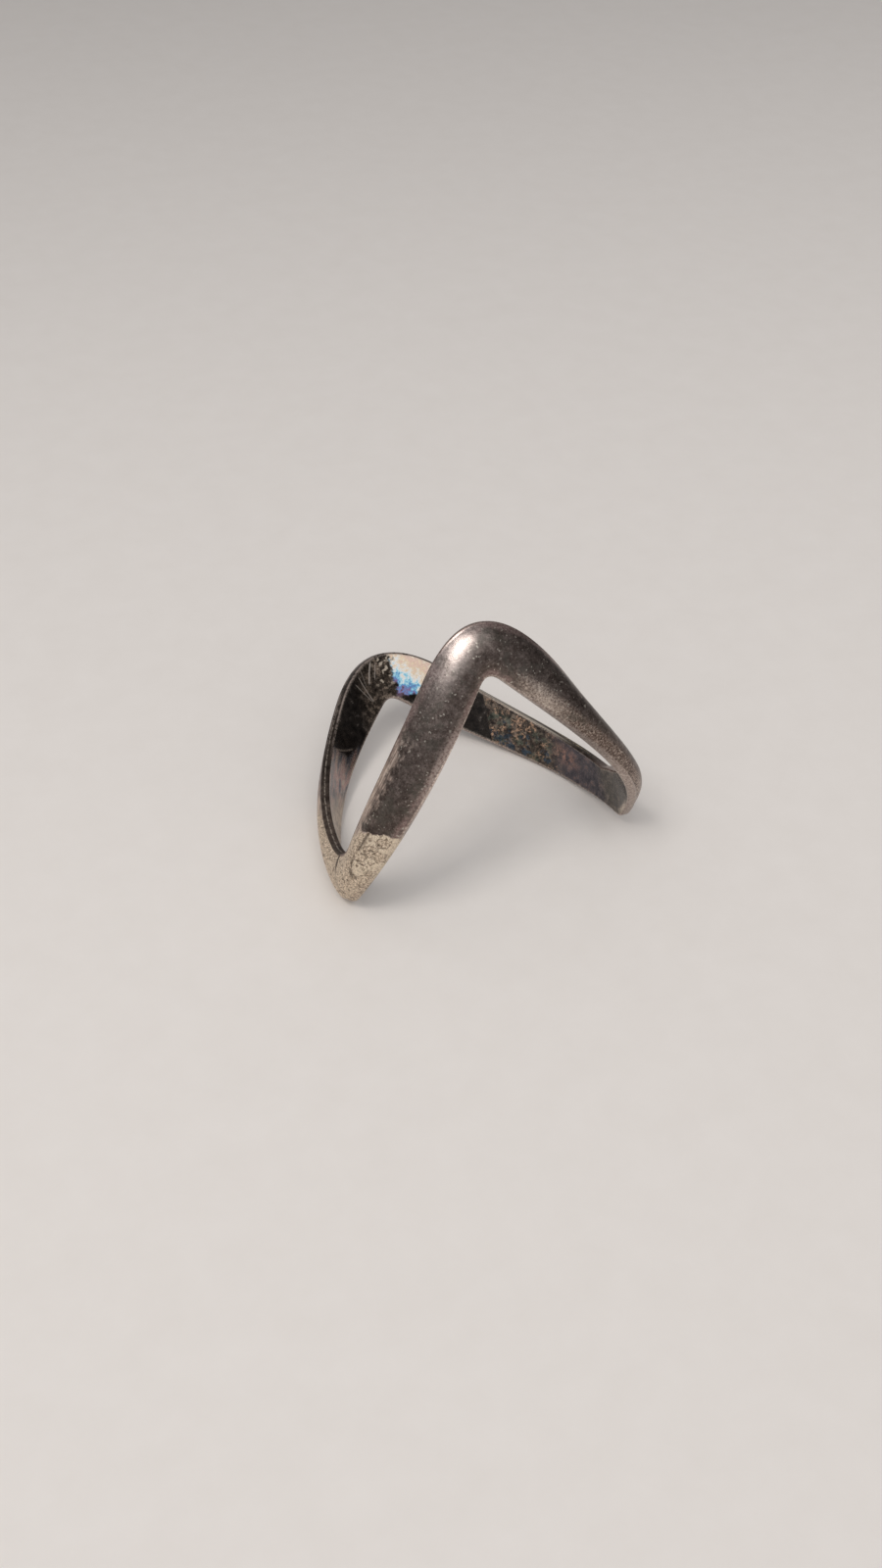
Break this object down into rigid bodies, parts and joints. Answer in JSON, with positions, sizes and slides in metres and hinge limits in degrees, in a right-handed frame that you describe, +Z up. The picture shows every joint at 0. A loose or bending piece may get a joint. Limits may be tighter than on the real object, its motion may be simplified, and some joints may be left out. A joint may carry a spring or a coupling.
{
  "type": "zigzag finger ring",
  "caption": "Tarnished silver finger ring: a half-round band bent into a zigzag crown with two low tips and two high peaks, closed by a solder seam.",
  "frame": {"origin": "On the table, under the middle of the resting ring's box.", "axes": "+Z up from the table. +X from the left tip to the right tip, the longest side. +Y from the front peak towards the rear peak, which the ring leans back on."},
  "size_m": [0.0194, 0.0176, 0.0173],
  "materials": {
    "tarnished_silver": "sulphide tarnish over worn silver",
    "silver_solder": "matte, pitted"
  },
  "bodies": {
    "root": {"band": "tarnished_silver", "solder_seam": "silver_solder"}
  },
  "joints": []
}
